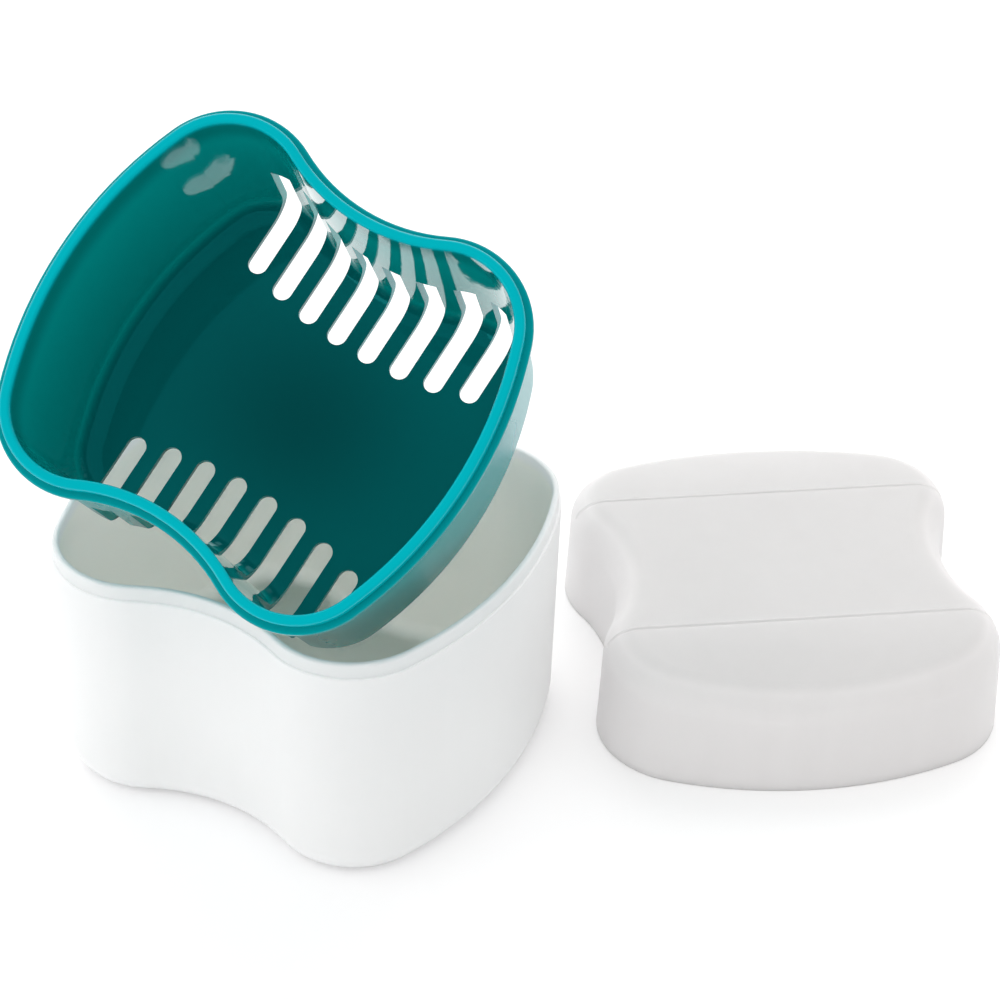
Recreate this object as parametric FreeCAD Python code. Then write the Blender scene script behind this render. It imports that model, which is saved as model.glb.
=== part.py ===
import FreeCAD, Part
import math
import os

# Retainer cleaning case: an open case, a strainer basket that drops into it, and a lid.
# Millimetres. The origin is the middle of the case's base, +Z is up,
# X runs across the two waists and Y runs towards the two rounded ends.

# Plan outline shared by the three pieces
half_width = 40.0          # middle to the widest point beside a waist
half_length = 45.0         # middle to the crown of an end
half_waist = 34.5          # middle to the bottom of a waist
corner_radius = 17.5
end_radius = 79.0

# Case
case_height = 51.7
case_margin = 0.25         # case wall outside the plan outline, at the step under the lip
case_draft = 1.25          # degrees
case_wall = 1.75
case_floor = 2.0
case_base_round = 5.0
lip_height = 3.0
lip_inset = 0.5            # step from the case wall in to the lip
lip_round = 0.45
step_round = 0.3           # on the wall's edge beside the lip

# Basket
flange_inset = 0.1         # flange edge inside the plan outline
flange_thickness = 1.6
flange_round = 0.45
collar_height = 2.4
collar_round = 0.6
basket_depth = 45.0        # top of the collar down to the inside of the floor
basket_wall = 1.35
basket_floor = 1.3
basket_floor_round = 4.7   # inside, between wall and floor
narrow_across = 1.27       # from the top down to the floor the cup narrows by this much at the corners,
narrow_along = 2.0         # by this much at the ends
narrow_waist = 0.58        # and by this much at the waists

# Drain slots, a row at each waist that climbs from the floor up the wall
slot_count = 8
slot_pitch = 7.13
slot_width = 4.0
slot_tip = 15.7            # middle of the basket to the inner ends nearest to it
slot_arc = 82.0            # radius of the curve on which the inner ends lie
slot_climb = 19.0          # top ends, above the floor

# Lid
lid_height = 24.6
lid_margin = 0.9           # lid wall outside the plan outline, at the open edge
lid_draft = 2.5            # degrees
lid_wall = 1.9
lid_roof = 1.9
lid_round = 7.0
lid_edge_round = 0.4
band_half_width = 22.0     # middle to each crease, along Y
lobe_radius = 72.0         # along Y, over each end lobe
crease_width = 1.3
crease_depth = 0.28
crease_turn = 62.0         # degrees that each crease runs down over the crown

# Clearances
lid_clearance = 0.4        # lid wall round the collar
basket_clearance = 0.55    # basket wall inside the case lip

# The basket leans in the case, its floor at the +Y end over the crown of the case's rim
basket_turn = FreeCAD.Rotation(-14.28, -38.88, 22.34)
crown_reach_x = 10.42      # floor's crown from the crown of the rim
crown_reach_y = 5.83
crown_reach_z = 25.49

# The lid stands beside the case: clear space, and compass bearings about +Z in degrees
lid_gap = 8.4
lid_bearing = -46.5
lid_turn = FreeCAD.Rotation(-54.5, 0.0, 0.0)

cutter_reach = 10.0        # what cuts reaches this far past what is cut


def slope(degrees):
    return math.tan(math.radians(degrees))


def grown(offset, across=0.0, along=0.0, waist=0.0):
    """The plan outline's five sizes, grown by offset and narrowed at the corners, the ends and the waists."""
    corner = (half_width + offset - across, corner_radius + offset - across)
    end = (half_length + offset - along, end_radius + offset - along)
    return corner, end, half_waist + offset - waist


def outline(plan, z):
    """A closed wire of eight tangent arcs at height z: an end, a corner and a waist arc, mirrored round."""
    (width, corner_r), (length, end_r), waist = plan
    corner_x = width - corner_r
    end_y = length - end_r
    corner_y = end_y + math.sqrt((end_r - corner_r) ** 2 - corner_x ** 2)
    dip = waist - corner_x
    waist_r = (corner_y ** 2 + dip ** 2 - corner_r ** 2) / (2.0 * (corner_r - dip))
    waist_x = waist + waist_r
    end_turn = math.atan2(corner_x, corner_y - end_y)
    waist_turn = math.atan2(corner_y, waist_x - corner_x)

    def point(cx, cy, radius, turn, sx, sy):
        return FreeCAD.Vector(sx * (cx + radius * math.sin(turn)), sy * (cy + radius * math.cos(turn)), z)

    def end_arc(sy):
        first = point(0.0, end_y, end_r, end_turn, 1, sy)
        crown = point(0.0, end_y, end_r, 0.0, 1, sy)
        last = point(0.0, end_y, end_r, end_turn, -1, sy)
        return Part.Arc(first, crown, last).toShape()

    def corner_arc(sx, sy):
        far = math.pi / 2.0 + waist_turn
        first = point(corner_x, corner_y, corner_r, end_turn, sx, sy)
        middle = point(corner_x, corner_y, corner_r, (end_turn + far) / 2.0, sx, sy)
        last = point(corner_x, corner_y, corner_r, far, sx, sy)
        return Part.Arc(first, middle, last).toShape()

    def waist_arc(sx):
        x = sx * (waist_x - waist_r * math.cos(waist_turn))
        first = FreeCAD.Vector(x, waist_r * math.sin(waist_turn), z)
        middle = FreeCAD.Vector(sx * waist, 0.0, z)
        last = FreeCAD.Vector(first.x, -first.y, z)
        return Part.Arc(first, middle, last).toShape()

    edges = [end_arc(1), corner_arc(1, 1), waist_arc(1), corner_arc(1, -1)]
    edges += [end_arc(-1), corner_arc(-1, -1), waist_arc(-1), corner_arc(-1, 1)]
    return Part.Wire(Part.__sortEdges__(edges))


def block(low_z, low_plan, high_z, high_plan):
    """A solid between two heights, with its own plan at each."""
    return Part.makeLoft([outline(low_plan, low_z), outline(high_plan, high_z)], True, True)


def edges_at(solid, z):
    """The edges of a solid that lie level at height z."""
    return [e for e in solid.Edges if abs(e.BoundBox.ZMin - z) < 1e-4 and abs(e.BoundBox.ZMax - z) < 1e-4]


def rounded(solid, radius, z):
    return solid.makeFillet(radius, edges_at(solid, z))


def make_case():
    """An open case with drafted walls, a rounded base and a lip set in from the wall."""
    fall = slope(case_draft)
    step_z = case_height - lip_height
    wall = block(0.0, grown(case_margin - fall * step_z), step_z, grown(case_margin))
    wall = rounded(rounded(wall, case_base_round, 0.0), step_round, step_z)
    lip_plan = grown(case_margin - lip_inset)
    lip = block(step_z, lip_plan, case_height, lip_plan)
    cavity = block(case_floor, grown(case_margin - case_wall - fall * (case_height - case_floor)),
                   case_height, grown(case_margin - case_wall))
    cavity = rounded(cavity, case_base_round - case_wall, case_floor)
    body = wall.fuse(lip).cut(cavity).removeSplitter()
    return rounded(body, lip_round, case_height)


def make_basket():
    """A strainer: narrowing cup, flange that rests on the case, collar that the lid goes round, drain slots."""
    flange_top = -collar_height
    flange_base = flange_top - flange_thickness
    under = -basket_depth - basket_floor
    collar_offset = lid_margin - lid_wall - lid_clearance
    wall_offset = case_margin - case_wall - basket_clearance
    hollow_offset = wall_offset - basket_wall
    narrowing = (narrow_across, narrow_along, narrow_waist)

    cup = block(under, grown(wall_offset, *narrowing), 0.0, grown(wall_offset))
    cup = rounded(cup, basket_floor_round + basket_floor, under)
    flange = block(flange_base, grown(-flange_inset), flange_top, grown(-flange_inset))
    flange = rounded(rounded(flange, flange_round, flange_base), flange_round, flange_top)
    collar = block(flange_top, grown(collar_offset), 0.0, grown(collar_offset))
    hollow = block(-basket_depth, grown(hollow_offset, *narrowing), 0.0, grown(hollow_offset))
    hollow = rounded(hollow, basket_floor_round, -basket_depth)
    body = cup.fuse([flange, collar]).cut(hollow)
    body = rounded(body.removeSplitter(), collar_round, 0.0)
    return body.cut(slot_tools())


def slot_tools():
    """Upright cutters, parallel to X, with round inner ends on a wide arc at each side."""
    radius = slot_width / 2.0
    low = -basket_depth - basket_floor - cutter_reach
    height = slot_climb - basket_depth - low
    cutters = []
    for number in range(slot_count):
        y = (number - (slot_count - 1) / 2.0) * slot_pitch
        tip = slot_tip + slot_arc - math.sqrt(slot_arc ** 2 - y ** 2)
        length = half_width - tip - radius
        for side in (1, -1):
            end = Part.makeCylinder(radius, height, FreeCAD.Vector(side * (tip + radius), y, low))
            corner = FreeCAD.Vector(tip + radius if side > 0 else -tip - radius - length, y - radius, low)
            run = Part.makeBox(length, slot_width, height, corner)
            cutters.append(end.fuse(run))
    return cutters


def roof_space(height):
    """What lies over the roof: level between the creases, curving down over each end lobe."""
    far = half_length + cutter_reach
    top = height + cutter_reach
    side = half_width + cutter_reach

    def point(y, z):
        return FreeCAD.Vector(-side, y, z)

    def lobe(y):
        return height - lobe_radius + math.sqrt(lobe_radius ** 2 - (y - band_half_width) ** 2)

    halfway = (band_half_width + far) / 2.0
    right = Part.Arc(point(band_half_width, height), point(halfway, lobe(halfway)), point(far, lobe(far)))
    left = Part.Arc(point(-far, lobe(far)), point(-halfway, lobe(halfway)), point(-band_half_width, height))
    band = Part.LineSegment(point(-band_half_width, height), point(band_half_width, height))
    rest = Part.makePolygon([point(far, lobe(far)), point(far, top), point(-far, top), point(-far, lobe(far))])
    face = Part.Face(Part.Wire([left.toShape(), band.toShape(), right.toShape()] + rest.Edges))
    return face.extrude(FreeCAD.Vector(2.0 * side, 0.0, 0.0))


def lid_form(inset, roof):
    """The lid as a filled solid, its wall moved in by inset and its roof down by roof."""
    offset = lid_margin - inset
    tall = lid_height + lid_round
    form = block(0.0, grown(offset), tall, grown(offset - slope(lid_draft) * tall))
    form = form.cut(roof_space(lid_height - roof))
    crown = [e for e in form.Edges if e.BoundBox.ZMin > lid_height / 2.0 and not is_crease(e)]
    crown = [e for e in crown if not runs_down(e)]
    return form.makeFillet(lid_round - inset, crown)


def is_crease(edge):
    """True for a straight edge across the lid."""
    box = edge.BoundBox
    return box.YLength < 1e-4 and box.ZLength < 1e-4


def runs_down(edge):
    """True for an edge nearer to upright than to level."""
    return abs(edge.tangentAt(edge.FirstParameter).z) > math.sin(math.pi / 6.0)


def crease_tool(y):
    """A round bar over the roof that bends down over the crown at both sides and ends in a ball."""
    fall = slope(lid_draft)
    radius = (crease_width ** 2 / 4.0 + crease_depth ** 2) / (2.0 * crease_depth)
    lift = radius - crease_depth
    wall_x = half_width + lid_margin - fall * (lid_height - lid_round)
    bend_x = wall_x - lid_round * math.sqrt(1.0 + fall ** 2)
    turn = math.radians(crease_turn)
    across = FreeCAD.Vector(1.0, 0.0, 0.0)
    tool = Part.makeCylinder(radius, 2.0 * bend_x, FreeCAD.Vector(-bend_x, y, lid_height + lift), across)
    for side in (1, -1):
        hub = FreeCAD.Vector(side * bend_x, y, lid_height - lid_round)
        start = FreeCAD.Vector(side * bend_x, y, lid_height + lift)
        disc = Part.Face(Part.Wire(Part.makeCircle(radius, start, across)))
        bend = disc.revolve(hub, FreeCAD.Vector(0.0, side, 0.0), crease_turn)
        reach = lid_round + lift
        end = hub + FreeCAD.Vector(side * reach * math.sin(turn), 0.0, reach * math.cos(turn))
        tool = tool.fuse([bend, Part.makeSphere(radius, end)])
    return tool.removeSplitter()


def make_lid():
    """A lid with drafted walls, a rounded crown and two soft creases between band and lobes."""
    body = lid_form(0.0, 0.0).cut([crease_tool(band_half_width), crease_tool(-band_half_width)])
    body = body.cut(lid_form(lid_wall, lid_roof))
    return rounded(body, lid_edge_round, 0.0)


def lean_basket(basket):
    crown = FreeCAD.Vector(0.0, half_length, case_height)
    floor_end = FreeCAD.Vector(0.0, half_length, -basket_depth)
    reach = FreeCAD.Vector(crown_reach_x, crown_reach_y, crown_reach_z)
    place = crown + reach - basket_turn.multVec(floor_end)
    basket.Placement = FreeCAD.Placement(place, basket_turn)
    return basket


def stand_lid(lid):
    bearing = math.radians(lid_bearing)
    distance = 2.0 * half_length + lid_gap
    place = FreeCAD.Vector(distance * math.cos(bearing), distance * math.sin(bearing), 0.0)
    lid.Placement = FreeCAD.Placement(place, lid_turn)
    return lid


if __name__ == "__main__":
    os.makedirs("parts", exist_ok=True)
    pieces = {
        "case": make_case(),
        "basket": lean_basket(make_basket()),
        "lid": stand_lid(make_lid()),
    }
    for name, piece in pieces.items():
        print(name, piece.isValid(), round(piece.Volume, 1), len(piece.Solids), len(piece.Faces), piece.BoundBox)
        piece.exportStep("parts/" + name + ".step")
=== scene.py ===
"""Finishes and studio for the retainer cleaning case: white case, teal strainer basket, frosted lid."""
import math

import bmesh
import bpy
from mathutils import Matrix, Vector

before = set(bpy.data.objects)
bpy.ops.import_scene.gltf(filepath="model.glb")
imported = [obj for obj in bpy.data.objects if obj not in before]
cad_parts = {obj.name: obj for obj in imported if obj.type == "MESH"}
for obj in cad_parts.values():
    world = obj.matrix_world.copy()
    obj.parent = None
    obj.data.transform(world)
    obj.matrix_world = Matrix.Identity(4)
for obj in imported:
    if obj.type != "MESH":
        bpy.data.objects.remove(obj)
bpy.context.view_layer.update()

bl_info = {
    "name": "Retainer Cleaning Case",
    "version": (1, 0, 0),
    "blender": (4, 5, 0),
    "location": "View3D > Sidebar > Retainer Case",
    "description": "Moulded plastic finishes and a soft white studio for a retainer cleaning case",
    "category": "Object",
}

MILLIMETRE = 0.001
LAMP_AIM = Vector((0.0, -0.03, 0.03))

# Inputs and outputs of a Mix node that blends colours
MIX_FACTOR = 0
MIX_FIRST_COLOUR = 6
MIX_SECOND_COLOUR = 7
MIX_COLOUR_RESULT = 2


class Socket:
    """An output in a shader graph. Arithmetic on it adds Math nodes."""

    def __init__(self, graph, output):
        self.graph = graph
        self.output = output

    def math(self, operation, *values):
        return self.graph.node("ShaderNodeMath", {"operation": operation}, dict(enumerate(values)))

    def __add__(self, other):
        return self.math("ADD", self, other)

    def __radd__(self, other):
        return self.math("ADD", other, self)

    def __sub__(self, other):
        return self.math("SUBTRACT", self, other)

    def __rsub__(self, other):
        return self.math("SUBTRACT", other, self)

    def __mul__(self, other):
        return self.math("MULTIPLY", self, other)

    def __rmul__(self, other):
        return self.math("MULTIPLY", other, self)

    def __pow__(self, other):
        return self.math("POWER", self, other)

    def __rpow__(self, other):
        return self.math("POWER", other, self)


class Graph:
    """The emptied node tree of a material or a world."""

    def __init__(self, owner):
        owner.use_nodes = True
        self.tree = owner.node_tree
        self.tree.nodes.clear()

    def node(self, kind, settings=None, inputs=None, output=0):
        """Adds a node, its settings first and then its sockets' values or links, and returns one output."""
        made = self.tree.nodes.new(kind)
        for name, value in (settings or {}).items():
            setattr(made, name, value)
        for key, value in (inputs or {}).items():
            if isinstance(value, Socket):
                self.tree.links.new(value.output, made.inputs[key])
            else:
                made.inputs[key].default_value = value
        return Socket(self, made.outputs[output]) if made.outputs else None

    def place(self):
        """The position on the object, in metres."""
        return self.node("ShaderNodeTexCoord", output="Object")

    def noise(self, size, detail=2.0, place=None):
        """Soft noise from 0 to 1 whose features are about size metres across."""
        inputs = {"Vector": place or self.place(), "Scale": 1.0 / size, "Detail": detail}
        return self.node("ShaderNodeTexNoise", inputs=inputs)

    def streaks(self, size, place):
        """Noise as wide as size metres and drawn out upwards, like flow marks in a moulded wall."""
        drawn = self.node("ShaderNodeVectorMath", {"operation": "MULTIPLY"}, {0: place, 1: (1.0, 1.0, 0.12)})
        return self.noise(size, 3.0, drawn)

    def rise(self, value, low, high):
        """A smooth step from 0 at low to 1 at high."""
        inputs = {"Value": value, "From Min": low, "From Max": high}
        return self.node("ShaderNodeMapRange", {"interpolation_type": "SMOOTHSTEP"}, inputs)

    def blend(self, factor, first, second):
        """A colour from first, where factor is 0, to second, where it is 1."""
        inputs = {MIX_FACTOR: factor, MIX_FIRST_COLOUR: first, MIX_SECOND_COLOUR: second}
        return self.node("ShaderNodeMix", {"data_type": "RGBA"}, inputs, MIX_COLOUR_RESULT)

    def bump(self, height, depth, below=None):
        """A normal bent by height, whose full swing is depth metres."""
        inputs = {"Height": height, "Distance": depth, "Strength": 1.0}
        if below is not None:
            inputs["Normal"] = below
        return self.node("ShaderNodeBump", inputs=inputs)

    def surface(self, shader):
        self.node("ShaderNodeOutputMaterial", inputs={"Surface": shader})


def tint(colour, level):
    """A colour with its brightness scaled, as the four numbers that a socket takes."""
    return (colour[0] * level, colour[1] * level, colour[2] * level, 1.0)


def new_material(name):
    made = bpy.data.materials.new(name)
    return made, Graph(made)


def dress(node, material):
    """Gives a carried-over node one material."""
    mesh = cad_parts[node].data
    mesh.materials.clear()
    mesh.materials.append(material)


class CaseFinish(bpy.types.PropertyGroup):
    colour: bpy.props.FloatVectorProperty(
        name="Colour", description="White of the case's outer wall",
        subtype="COLOR", size=3, min=0.0, max=1.0, default=(0.90, 0.90, 0.91))
    # Painted light: the hollow's white is brighter than the outer wall and tinted yellow-green, standing in for
    # light bounced in from the teal basket.
    inner_bounce_colour: bpy.props.FloatVectorProperty(
        name="Inner colour", description="White of the case's hollow",
        subtype="COLOR", size=3, min=0.0, max=1.0, default=(0.97, 0.965, 0.87))
    roughness: bpy.props.FloatProperty(
        name="Roughness", description="Gloss of the case, 0 for a mirror",
        subtype="FACTOR", min=0.0, max=1.0, default=0.38)
    scatter: bpy.props.FloatProperty(
        name="Scatter", description="How far light wanders inside the case's wall",
        unit="LENGTH", min=0.0, default=5.0 * MILLIMETRE)


# The collar teal is the lit copy; the outer, wall and floor teals are darker copies of the same plastic, painted as
# shade.
class BasketFinish(bpy.types.PropertyGroup):
    colour: bpy.props.FloatVectorProperty(
        name="Colour", description="Teal of the basket's collar",
        subtype="COLOR", size=3, min=0.0, max=1.0, default=(0.0, 0.42, 0.485))
    # Painted shade: the flange and outside are a darker teal, standing in for the collar's shadow on the flange.
    outer_shade_colour: bpy.props.FloatVectorProperty(
        name="Outer colour", description="Teal of the basket's flange and outside",
        subtype="COLOR", size=3, min=0.0, max=1.0, default=(0.0, 0.29, 0.315))
    # Painted shade: the inner wall teal is darker than the collar, standing in for the shade inside the basket.
    wall_shading_colour: bpy.props.FloatVectorProperty(
        name="Wall colour", description="Teal of the basket's inner wall",
        subtype="COLOR", size=3, min=0.0, max=1.0, default=(0.0, 0.37, 0.355))
    # Painted shade: the floor teal is far darker, standing in for the shade at the bottom of the basket.
    floor_shade_colour: bpy.props.FloatVectorProperty(
        name="Floor colour", description="Teal of the basket's floor",
        subtype="COLOR", size=3, min=0.0, max=1.0, default=(0.0, 0.10, 0.103))
    gloss_colour: bpy.props.FloatVectorProperty(
        name="Gloss colour", description="Tint of what the basket mirrors head on",
        subtype="COLOR", size=3, min=0.0, max=1.0, default=(0.02, 0.60, 0.64))
    mouth: bpy.props.FloatVectorProperty(
        name="Mouth", description="Middle of the basket's mouth",
        subtype="TRANSLATION", unit="LENGTH", size=3, default=(-0.01898, -0.00229, 0.09628))
    axis: bpy.props.FloatVectorProperty(
        name="Axis", description="Direction out of the basket's mouth",
        subtype="DIRECTION", size=3, default=(-0.6562, -0.2252, 0.7201))
    depth: bpy.props.FloatProperty(
        name="Depth", description="Mouth to the basket's floor", unit="LENGTH", min=0.0, default=45.0 * MILLIMETRE)
    roughness: bpy.props.FloatProperty(
        name="Roughness", description="Gloss of the basket, 0 for a mirror",
        subtype="FACTOR", min=0.0, max=1.0, default=0.05)
    waviness: bpy.props.FloatProperty(
        name="Waviness", description="Depth of the slow swell in the moulded wall",
        unit="LENGTH", min=0.0, default=0.03 * MILLIMETRE)


class LidFinish(bpy.types.PropertyGroup):
    colour: bpy.props.FloatVectorProperty(
        name="Colour", description="Milky white of the lid's roof",
        subtype="COLOR", size=3, min=0.0, max=1.0, default=(0.69, 0.675, 0.67))
    # Painted light: the upright walls are paler than the roof, standing in for light falling on them and through
    # them.
    wall_shading_colour: bpy.props.FloatVectorProperty(
        name="Wall colour", description="Paler milky white of the lid's upright walls",
        subtype="COLOR", size=3, min=0.0, max=1.0, default=(0.82, 0.795, 0.79))
    roughness: bpy.props.FloatProperty(
        name="Roughness", description="Frost of the lid, 1 for dull",
        subtype="FACTOR", min=0.0, max=1.0, default=0.5)
    scatter: bpy.props.FloatProperty(
        name="Scatter", description="How far light wanders inside the lid's wall",
        unit="LENGTH", min=0.0, default=4.0 * MILLIMETRE)


class Studio(bpy.types.PropertyGroup):
    aim: bpy.props.FloatVectorProperty(
        name="Aim", description="Point at the middle of the picture",
        subtype="TRANSLATION", unit="LENGTH", size=3, default=(-0.03998, -0.06278, 0.10054))
    distance: bpy.props.FloatProperty(
        name="Distance", description="Camera to the aim", unit="LENGTH", min=0.05, default=0.49579)
    bearing: bpy.props.FloatProperty(
        name="Bearing", description="Compass bearing of the view about the vertical",
        subtype="ANGLE", default=math.radians(-62.05))
    elevation: bpy.props.FloatProperty(
        name="Elevation", description="Height of the camera over the floor, as an angle",
        subtype="ANGLE", default=math.radians(35.09))
    roll: bpy.props.FloatProperty(
        name="Roll", description="Turn of the camera about its own axis",
        subtype="ANGLE", default=math.radians(1.211))
    lens: bpy.props.FloatProperty(
        name="Lens", description="Focal length", unit="CAMERA", min=1.0, default=107.67)
    ambient: bpy.props.FloatProperty(
        name="Ambient", description="Strength of the light from all round", min=0.0, default=0.90)
    floor_radius: bpy.props.FloatProperty(
        name="Floor radius", description="Middle of the floor to its edge", unit="LENGTH", min=0.5, default=6.0)


class RETAINER_OT_finish_case(bpy.types.Operator):
    """Gives the case its satin white plastic"""
    bl_idname = "retainer.finish_case"
    bl_label = "Finish Case"

    def execute(self, context):
        look = context.scene.retainer_case
        material, graph = new_material("white_plastic")
        place = graph.place()
        cloud = graph.noise(22.0 * MILLIMETRE, 3.0, place)
        grain = graph.noise(0.35 * MILLIMETRE, 2.0, place)
        flow = 0.6 * cloud + 0.4 * graph.streaks(3.5 * MILLIMETRE, place)
        colour = graph.blend(flow, tint(look.colour, 0.98), tint(look.colour, 1.02))
        # Painted bounce light: the hollow takes the brighter yellow-green inner white.
        colour = graph.blend(hollow_bounce_mask(graph, place), colour, tint(look.inner_bounce_colour, 1.0))
        shader = graph.node("ShaderNodeBsdfPrincipled", inputs={
            "Base Color": colour,
            "Roughness": look.roughness + 0.06 * (cloud - 0.5),
            "Normal": graph.bump(grain, 0.004 * MILLIMETRE),
            "Subsurface Weight": 0.8,
            "Subsurface Scale": look.scatter,
            "Subsurface Radius": (1.0, 1.0, 1.0),
        })
        graph.surface(shader)
        dress("case", material)
        return {"FINISHED"}


def hollow_bounce_mask(graph, place):
    """1 on the walls and floor of the case's hollow, 0 on its outside; it places the painted bounce light."""
    normal = graph.node("ShaderNodeNewGeometry", output="Normal")
    level = graph.node("ShaderNodeVectorMath", {"operation": "MULTIPLY"}, {0: place, 1: (1.0, 1.0, 0.0)})
    outward = graph.node("ShaderNodeVectorMath", {"operation": "NORMALIZE"}, {0: level})
    facing = graph.node("ShaderNodeVectorMath", {"operation": "DOT_PRODUCT"}, {0: outward, 1: normal}, "Value")
    height = graph.node("ShaderNodeSeparateXYZ", inputs={0: place}, output="Z")
    up = graph.node("ShaderNodeSeparateXYZ", inputs={0: normal}, output="Z")
    wall = (1.0 - graph.rise(facing, -0.35, -0.15)) * (1.0 - graph.rise(height, 0.0485, 0.0508))
    floor = graph.rise(up, 0.5, 0.7) * (1.0 - graph.rise(height, 0.010, 0.014))
    return graph.node("ShaderNodeMath", {"operation": "MAXIMUM"}, {0: wall, 1: floor})


class RETAINER_OT_finish_basket(bpy.types.Operator):
    """Gives the basket its glossy teal plastic"""
    bl_idname = "retainer.finish_basket"
    bl_label = "Finish Basket"

    def execute(self, context):
        look = context.scene.retainer_basket
        material, graph = new_material("teal_plastic")
        place = graph.place()
        cloud = graph.noise(18.0 * MILLIMETRE, 3.0, place)
        swell = graph.noise(16.0 * MILLIMETRE, 1.0, place)
        grain = graph.noise(0.5 * MILLIMETRE, 2.0, place)
        waves = graph.bump(swell, look.waviness)
        along = graph.node("ShaderNodeVectorMath", {"operation": "SUBTRACT"}, {0: look.mouth, 1: place})
        sunk = graph.node("ShaderNodeVectorMath", {"operation": "DOT_PRODUCT"}, {0: along, 1: look.axis}, "Value")
        drop = graph.node("ShaderNodeVectorMath", {"operation": "SCALE"}, {0: look.axis, "Scale": sunk})
        inwards = graph.node("ShaderNodeVectorMath", {"operation": "SUBTRACT"}, {0: along, 1: drop})
        reach = graph.node("ShaderNodeVectorMath", {"operation": "LENGTH"}, {0: inwards}, "Value")
        collar = graph.blend(cloud, tint(look.colour, 0.97), tint(look.colour, 1.03))
        # Painted shade: below the collar's top the teal darkens to the outer teal.
        outside = graph.blend(graph.rise(sunk, 0.03 * look.depth, 0.055 * look.depth),
                              collar, tint(look.outer_shade_colour, 1.0))
        # Painted shade: just inside the rim the teal darkens to 0.6 of the wall teal.
        lip_shade = graph.blend(graph.rise(sunk, 0.005 * look.depth, 0.04 * look.depth),
                          collar, tint(look.wall_shading_colour, 0.6))
        # Painted shade: the inner wall darkens with depth below the mouth.
        wall = graph.blend(graph.rise(sunk, 0.06 * look.depth, 0.22 * look.depth), lip_shade, tint(look.wall_shading_colour, 1.0))
        inner = inner_side(graph, inwards, sunk, look)
        colour = graph.blend(inner, outside, wall)
        # Painted shade and light: the floor is darker at the middle and paler towards the wall.
        floor = graph.blend(graph.rise(reach, 0.0, 38.0 * MILLIMETRE),
                            tint(look.floor_shade_colour, 0.62), tint(look.floor_shade_colour, 1.38))
        colour = graph.blend(inner * graph.rise(sunk, 0.925 * look.depth, 0.975 * look.depth), colour, floor)
        duller = (1.0 - inner) * graph.rise(sunk, 0.09 * look.depth, 0.13 * look.depth)
        shader = graph.node("ShaderNodeBsdfPrincipled", inputs={
            "Base Color": colour,
            "Roughness": look.roughness + 0.03 * (cloud - 0.5) + 0.18 * duller,
            "Normal": graph.bump(grain, 0.0006 * MILLIMETRE, waves),
            "Specular IOR Level": 0.5,
            "Specular Tint": tint(look.gloss_colour, 1.0),
        })
        graph.surface(shader)
        dress("basket", material)
        return {"FINISHED"}


def inner_side(graph, inwards, sunk, look):
    """1 on the basket's inner wall and the upper face of its floor, 0 on its outside; it places the painted shade.
    """
    normal = graph.node("ShaderNodeNewGeometry", output="Normal")
    inwards = graph.node("ShaderNodeVectorMath", {"operation": "NORMALIZE"}, {0: inwards})
    facing = graph.node("ShaderNodeVectorMath", {"operation": "DOT_PRODUCT"}, {0: inwards, 1: normal}, "Value")
    upward = graph.node("ShaderNodeVectorMath", {"operation": "DOT_PRODUCT"}, {0: look.axis, 1: normal}, "Value")
    floor = graph.rise(upward, 0.2, 0.6) * graph.rise(sunk, 0.5 * look.depth, 0.6 * look.depth)
    wall = graph.rise(facing, 0.1, 0.4)
    return graph.node("ShaderNodeMath", {"operation": "MAXIMUM"}, {0: wall, 1: floor})


class RETAINER_OT_finish_lid(bpy.types.Operator):
    """Gives the lid its milky frosted plastic"""
    bl_idname = "retainer.finish_lid"
    bl_label = "Finish Lid"

    def execute(self, context):
        look = context.scene.retainer_lid
        material, graph = new_material("frosted_plastic")
        place = graph.place()
        cloud = graph.noise(26.0 * MILLIMETRE, 3.0, place)
        frost = graph.noise(0.4 * MILLIMETRE, 3.0, place)
        normal = graph.node("ShaderNodeNewGeometry", output="Normal")
        up = graph.node("ShaderNodeSeparateXYZ", inputs={0: normal}, output="Z")
        # Painted light: the roof takes the darker colour and the upright walls the paler one.
        roof = graph.rise(up, 0.8, 0.998)
        flow = 0.5 * cloud + 0.5 * graph.streaks(5.0 * MILLIMETRE, place)
        dim = graph.blend(roof, tint(look.wall_shading_colour, 0.96), tint(look.colour, 0.96))
        bright = graph.blend(roof, tint(look.wall_shading_colour, 1.04), tint(look.colour, 1.04))
        shader = graph.node("ShaderNodeBsdfPrincipled", inputs={
            "Base Color": graph.blend(flow, dim, bright),
            "Roughness": look.roughness + 0.08 * (cloud - 0.5),
            "Normal": graph.bump(frost, 0.006 * MILLIMETRE),
            "Subsurface Weight": 1.0,
            "Subsurface Scale": look.scatter,
            "Subsurface Radius": (1.0, 1.0, 1.0),
        })
        graph.surface(shader)
        dress("lid", material)
        return {"FINISHED"}


class RETAINER_OT_set_stage(bpy.types.Operator):
    """Lays the pale floor, hangs the soft lights and sets the camera"""
    bl_idname = "retainer.set_stage"
    bl_label = "Set Stage"

    def execute(self, context):
        studio = context.scene.retainer_studio
        lay_floor(studio)
        light_world(context.scene, studio)
        hang_lamp("back_softbox", (1.05, 0.56, 1.0), (1.8, 1.8), 10.3)
        hang_lamp("left_strip", (-0.85, 0.45, 0.16), (0.7, 0.3), 1.5)
        hang_lamp("left_softbox", (-0.42, 0.80, 0.75), (0.7, 0.7), 0.7)
        set_camera(context.scene, studio)
        context.scene.view_settings.view_transform = "Standard"
        return {"FINISHED"}


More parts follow.
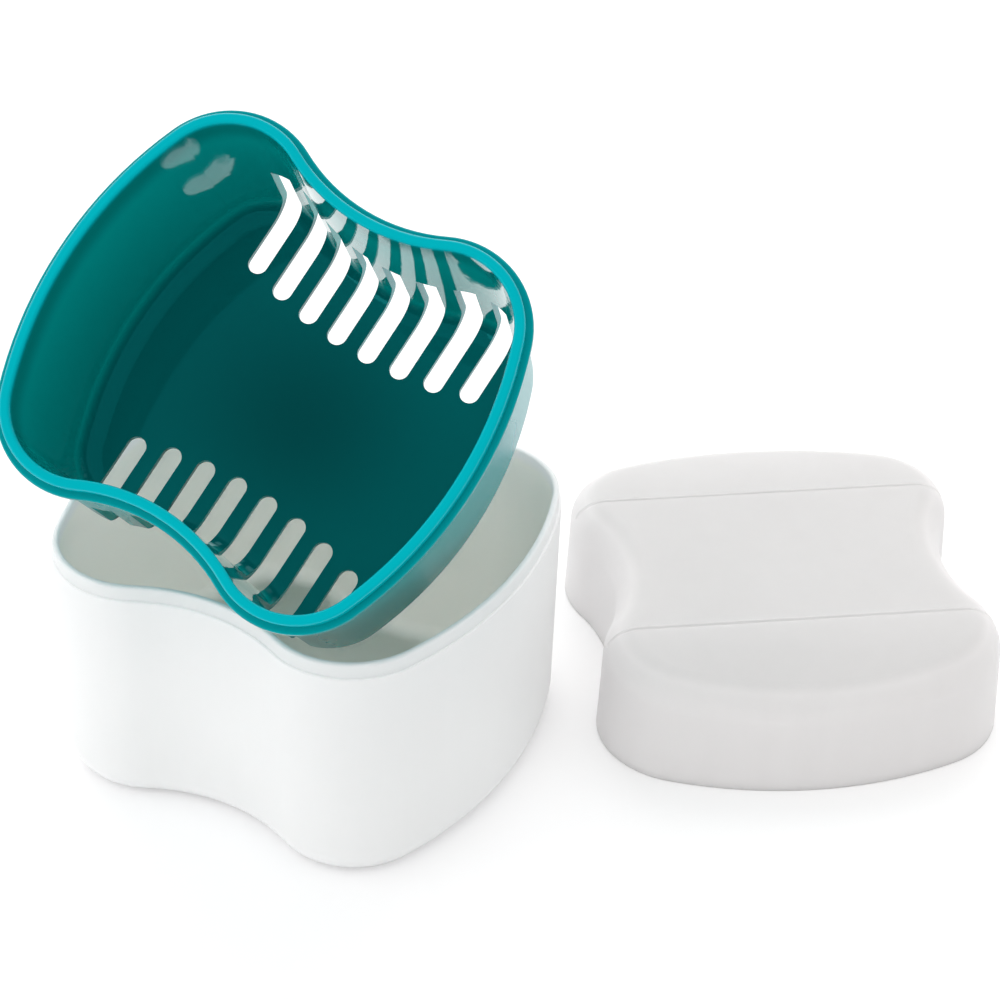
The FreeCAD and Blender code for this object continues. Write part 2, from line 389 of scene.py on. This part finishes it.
def seen_directly(graph):
    """1 for rays from the camera, a glossy surface or through a clear one, else 0."""
    flags = [graph.node("ShaderNodeLightPath", output=name)
             for name in ("Is Camera Ray", "Is Glossy Ray", "Is Transmission Ray")]
    either = graph.node("ShaderNodeMath", {"operation": "MAXIMUM"}, {0: flags[0], 1: flags[1]})
    return graph.node("ShaderNodeMath", {"operation": "MAXIMUM"}, {0: either, 1: flags[2]})


def light_world(scene, studio):
    scene.world = bpy.data.worlds.new("studio_air")
    graph = Graph(scene.world)
    seen = seen_directly(graph)
    strength = seen + (1.0 - seen) * studio.ambient
    air = graph.node("ShaderNodeBackground", inputs={"Color": (1.0, 1.0, 1.0, 1.0), "Strength": strength})
    graph.node("ShaderNodeOutputWorld", inputs={"Surface": air})


def lay_floor(studio):
    mesh = bpy.data.meshes.new("floor")
    sheet = bmesh.new()
    bmesh.ops.create_circle(sheet, cap_ends=True, segments=64, radius=studio.floor_radius)
    sheet.to_mesh(mesh)
    sheet.free()
    floor = bpy.data.objects.new("floor", mesh)
    bpy.context.scene.collection.objects.link(floor)
    material, graph = new_material("white_floor")
    matt = graph.node("ShaderNodeBsdfDiffuse", inputs={"Color": (0.93, 0.93, 0.93, 1.0)})
    glow = graph.node("ShaderNodeEmission", inputs={"Strength": seen_directly(graph) * 0.14})
    graph.surface(graph.node("ShaderNodeAddShader", inputs={0: matt, 1: glow}))
    mesh.materials.append(material)


def hang_lamp(name, place, size, power):
    """A soft rectangular lamp that faces the pieces."""
    lamp = bpy.data.lights.new(name, "AREA")
    lamp.shape = "RECTANGLE"
    lamp.size, lamp.size_y = size
    lamp.energy = power
    made = bpy.data.objects.new(name, lamp)
    made.location = place
    made.rotation_euler = (LAMP_AIM - Vector(place)).to_track_quat("-Z", "Y").to_euler()
    bpy.context.scene.collection.objects.link(made)
    return made


def set_camera(scene, studio):
    lens = bpy.data.cameras.new("camera")
    lens.lens = studio.lens
    lens.sensor_width = 36.0
    lens.sensor_fit = "HORIZONTAL"
    camera = bpy.data.objects.new("camera", lens)
    turn = Matrix.Rotation(studio.bearing, 3, "Z") @ Matrix.Rotation(math.pi / 2.0 - studio.elevation, 3, "X")
    turn = turn @ Matrix.Rotation(studio.roll, 3, "Z")
    place = Vector(studio.aim) + turn @ Vector((0.0, 0.0, studio.distance))
    camera.matrix_world = Matrix.Translation(place) @ turn.to_4x4()
    scene.collection.objects.link(camera)
    scene.camera = camera


class RETAINER_PT_panel(bpy.types.Panel):
    bl_idname = "RETAINER_PT_panel"
    bl_label = "Retainer Case"
    bl_space_type = "VIEW_3D"
    bl_region_type = "UI"
    bl_category = "Retainer Case"

    def draw(self, context):
        for steps, group, names in PANEL_ROWS:
            self.layout.operator(steps)
            for name in names:
                self.layout.prop(getattr(context.scene, group), name)


PANEL_ROWS = (
    ("retainer.finish_case", "retainer_case", ("colour", "inner_bounce_colour", "roughness", "scatter")),
    ("retainer.finish_basket", "retainer_basket",
     ("colour", "outer_shade_colour", "wall_shading_colour", "floor_shade_colour", "gloss_colour", "mouth", "axis", "depth", "roughness", "waviness")),
    ("retainer.finish_lid", "retainer_lid", ("colour", "wall_shading_colour", "roughness", "scatter")),
    ("retainer.set_stage", "retainer_studio",
     ("aim", "distance", "bearing", "elevation", "roll", "lens", "ambient", "floor_radius")),
)

GROUPS = {
    "retainer_case": CaseFinish,
    "retainer_basket": BasketFinish,
    "retainer_lid": LidFinish,
    "retainer_studio": Studio,
}

CLASSES = (
    CaseFinish, BasketFinish, LidFinish, Studio,
    RETAINER_OT_finish_case, RETAINER_OT_finish_basket, RETAINER_OT_finish_lid, RETAINER_OT_set_stage,
    RETAINER_PT_panel,
)


def register():
    for kind in CLASSES:
        bpy.utils.register_class(kind)
    for name, group in GROUPS.items():
        setattr(bpy.types.Scene, name, bpy.props.PointerProperty(type=group))


def unregister():
    for name in GROUPS:
        delattr(bpy.types.Scene, name)
    for kind in reversed(CLASSES):
        bpy.utils.unregister_class(kind)


def main():
    register()
    bpy.ops.retainer.finish_case()
    bpy.ops.retainer.finish_basket()
    bpy.ops.retainer.finish_lid()
    bpy.ops.retainer.set_stage()


if __name__ == "__main__":
    main()
